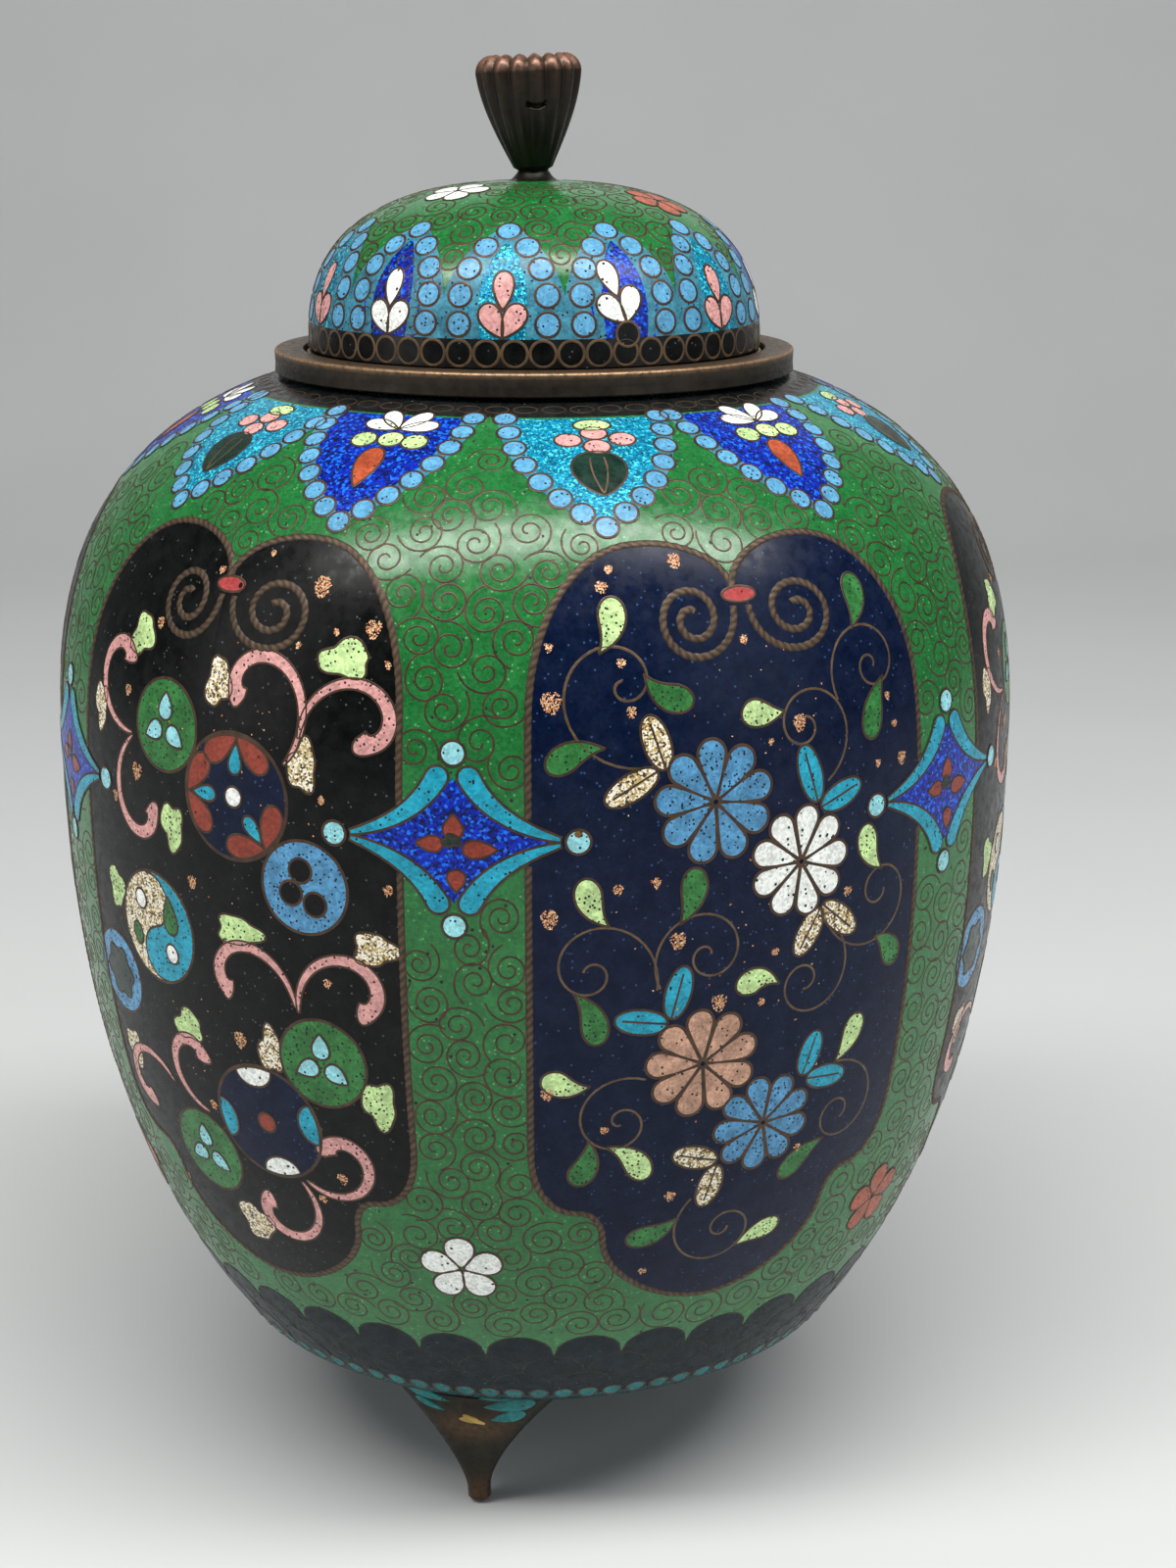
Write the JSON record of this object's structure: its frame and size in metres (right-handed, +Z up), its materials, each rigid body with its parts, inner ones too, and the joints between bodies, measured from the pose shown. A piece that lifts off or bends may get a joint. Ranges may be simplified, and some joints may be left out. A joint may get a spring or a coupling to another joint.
{
  "type": "cloisonne ginger jar",
  "caption": "Small covered jar of enamelled copper with a full shoulder, a bronze neck rim, a domed lift-off lid with a ribbed knob, and slender feet.",
  "frame": {"origin": "on the jar's axis, on the surface that its feet stand on", "axes": "+Z up along the jar's axis, one foot towards -Y"},
  "size_m": [0.0854, 0.0854, 0.1243],
  "materials": {
    "body_enamel": "glossy, slightly orange-peeled cloisonne enamel on copper: green ground, black and navy panels, foil-backed blue and turquoise, with worn copper wires",
    "lid_enamel": "glossy cloisonne enamel on copper, green with pale blue beads, foil-backed lappets and a black border",
    "rim_bronze": "dark brown patinated bronze with edges worn to bright copper",
    "feet_bronze": "dark patinated bronze, worn brassy on the knee and brown at the tip",
    "finial_bronze": "dark patinated cast bronze with ribs worn to copper at the top"
  },
  "bodies": {
    "root": {"jar_body": "body_enamel", "neck_rim": "rim_bronze", "foot_1": "feet_bronze", "foot_2": "feet_bronze", "foot_3": "feet_bronze", "lid_shell": "lid_enamel", "lid_edge": "rim_bronze", "finial": "finial_bronze"}
  },
  "joints": []
}
